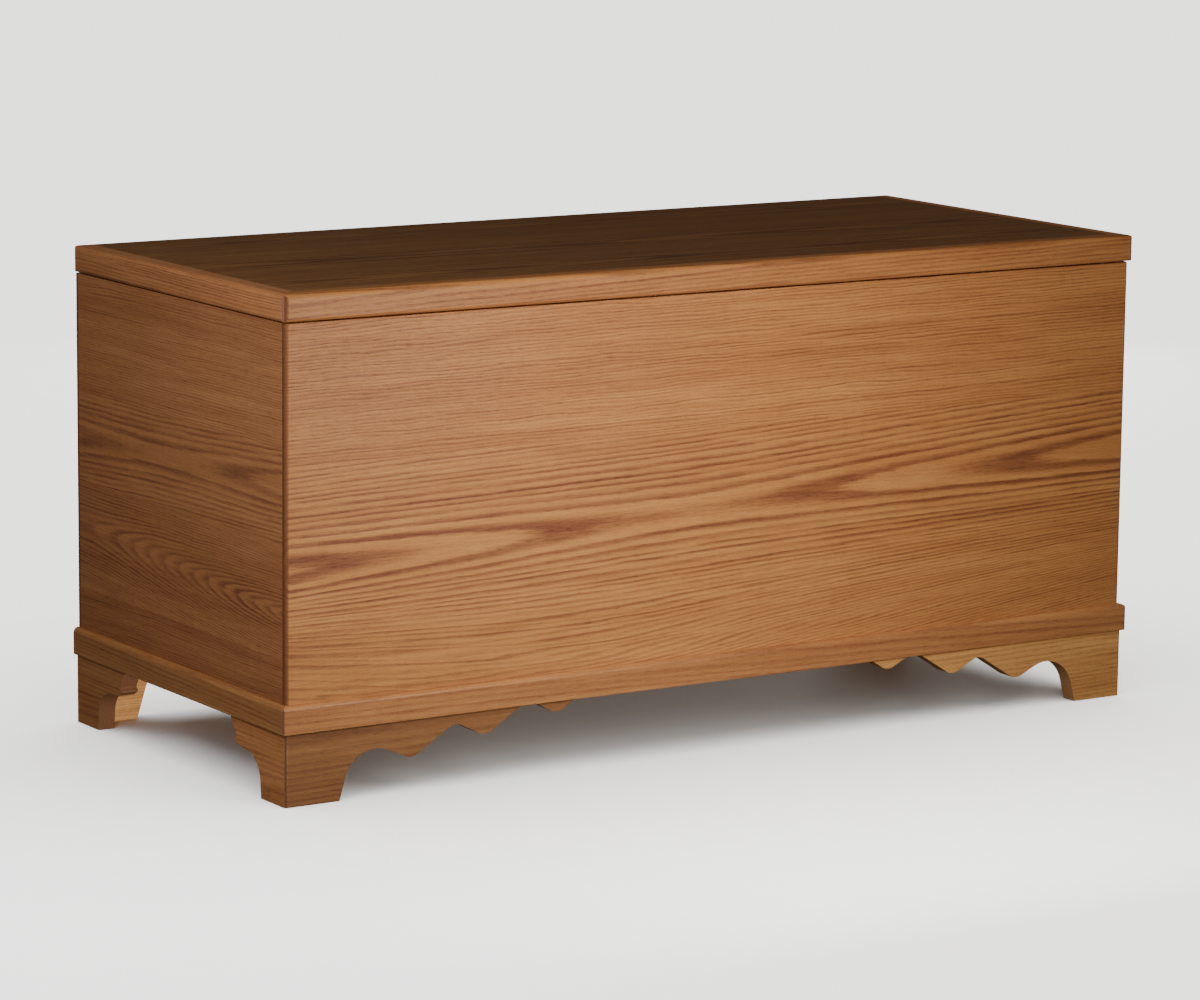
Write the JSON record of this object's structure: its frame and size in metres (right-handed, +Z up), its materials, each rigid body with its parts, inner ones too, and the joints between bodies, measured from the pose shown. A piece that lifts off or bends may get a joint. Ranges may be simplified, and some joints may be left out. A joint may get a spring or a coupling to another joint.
{
  "type": "blanket chest",
  "caption": "Low oak storage chest with a lift lid, base moulding and scalloped bracket feet.",
  "frame": {"origin": "on the floor, at the centre of the footprint of the closed chest", "axes": "+X along the length to the right, -Y out of the front, +Z up"},
  "size_m": [1.052, 0.462, 0.508],
  "materials": {
    "stained_oak": "stained oak under satin lacquer",
    "plain_oak": "bare planed oak",
    "brass": "satin brass",
    "bumper": "matt rubber"
  },
  "bodies": {
    "case": {"front_panel": "stained_oak", "back_panel": "stained_oak", "left_end_panel": "stained_oak", "right_end_panel": "stained_oak", "bottom_panel": "plain_oak", "base_rail_front": "plain_oak", "base_rail_back": "plain_oak", "base_rail_left": "plain_oak", "base_rail_right": "plain_oak", "moulding_front": "stained_oak", "moulding_left": "stained_oak", "moulding_right": "stained_oak", "bracket_front_left": "stained_oak", "bracket_front_right": "stained_oak", "bracket_left_front": "stained_oak", "bracket_left_back": "stained_oak", "bracket_right_front": "stained_oak", "bracket_right_back": "stained_oak", "bracket_back_left": "stained_oak", "bracket_back_right": "stained_oak", "block_front_left": "plain_oak", "block_front_right": "plain_oak", "block_back_left": "plain_oak", "block_back_right": "plain_oak", "left_hinge_case_leaf": "brass", "left_hinge_pin": "brass", "right_hinge_case_leaf": "brass", "right_hinge_pin": "brass", "hinge_case_screws": "brass", "left_stay_plate": "brass", "left_stay_pivot": "brass", "right_stay_plate": "brass", "right_stay_pivot": "brass", "stay_case_screws": "brass", "rim_bumpers": "bumper"},
    "lid": {"lid_panel": "stained_oak", "lid_band_front": "stained_oak", "lid_band_back": "stained_oak", "lid_band_left": "stained_oak", "lid_band_right": "stained_oak", "lid_batten_left": "plain_oak", "lid_batten_right": "plain_oak", "left_hinge_lid_leaf": "brass", "right_hinge_lid_leaf": "brass", "hinge_lid_screws": "brass", "left_stay_lid_bracket": "brass", "left_stay_lid_pin": "brass", "right_stay_lid_bracket": "brass", "right_stay_lid_pin": "brass", "stay_lid_screws": "brass"},
    "left_stay_lower": {"left_stay_lower_arm": "brass", "left_stay_knee_rivet": "brass"},
    "left_stay_upper": {"left_stay_upper_arm": "brass"},
    "right_stay_lower": {"right_stay_lower_arm": "brass", "right_stay_knee_rivet": "brass"},
    "right_stay_upper": {"right_stay_upper_arm": "brass"}
  },
  "joints": [
    {"name": "lid_hinge", "type": "hinge", "parent": "case", "child": "lid", "pos_m": [0, 0.228, 0.47925], "axis": [-1, 0, 0], "range_deg": [0, 95]},
    {"name": "left_stay_foot", "type": "hinge", "parent": "case", "child": "left_stay_lower", "pos_m": [-0.4967, 0.168, 0.28925], "axis": [-1, 0, 0], "range_deg": [0, 95]},
    {"name": "left_stay_knee", "type": "hinge", "parent": "left_stay_lower", "child": "left_stay_upper", "pos_m": [-0.4944, 0.058, 0.28125], "axis": [-1, 0, 0], "range_deg": [-95, 0]},
    {"name": "right_stay_foot", "type": "hinge", "parent": "case", "child": "right_stay_lower", "pos_m": [0.4967, 0.168, 0.28925], "axis": [-1, 0, 0], "range_deg": [0, 95]},
    {"name": "right_stay_knee", "type": "hinge", "parent": "right_stay_lower", "child": "right_stay_upper", "pos_m": [0.4944, 0.058, 0.28125], "axis": [-1, 0, 0], "range_deg": [-95, 0]}
  ],
  "couplings": [
    {"joint": "left_stay_foot", "follows": "lid_hinge", "ratio": 1},
    {"joint": "left_stay_knee", "follows": "lid_hinge", "ratio": -1},
    {"joint": "right_stay_foot", "follows": "lid_hinge", "ratio": 1},
    {"joint": "right_stay_knee", "follows": "lid_hinge", "ratio": -1}
  ]
}
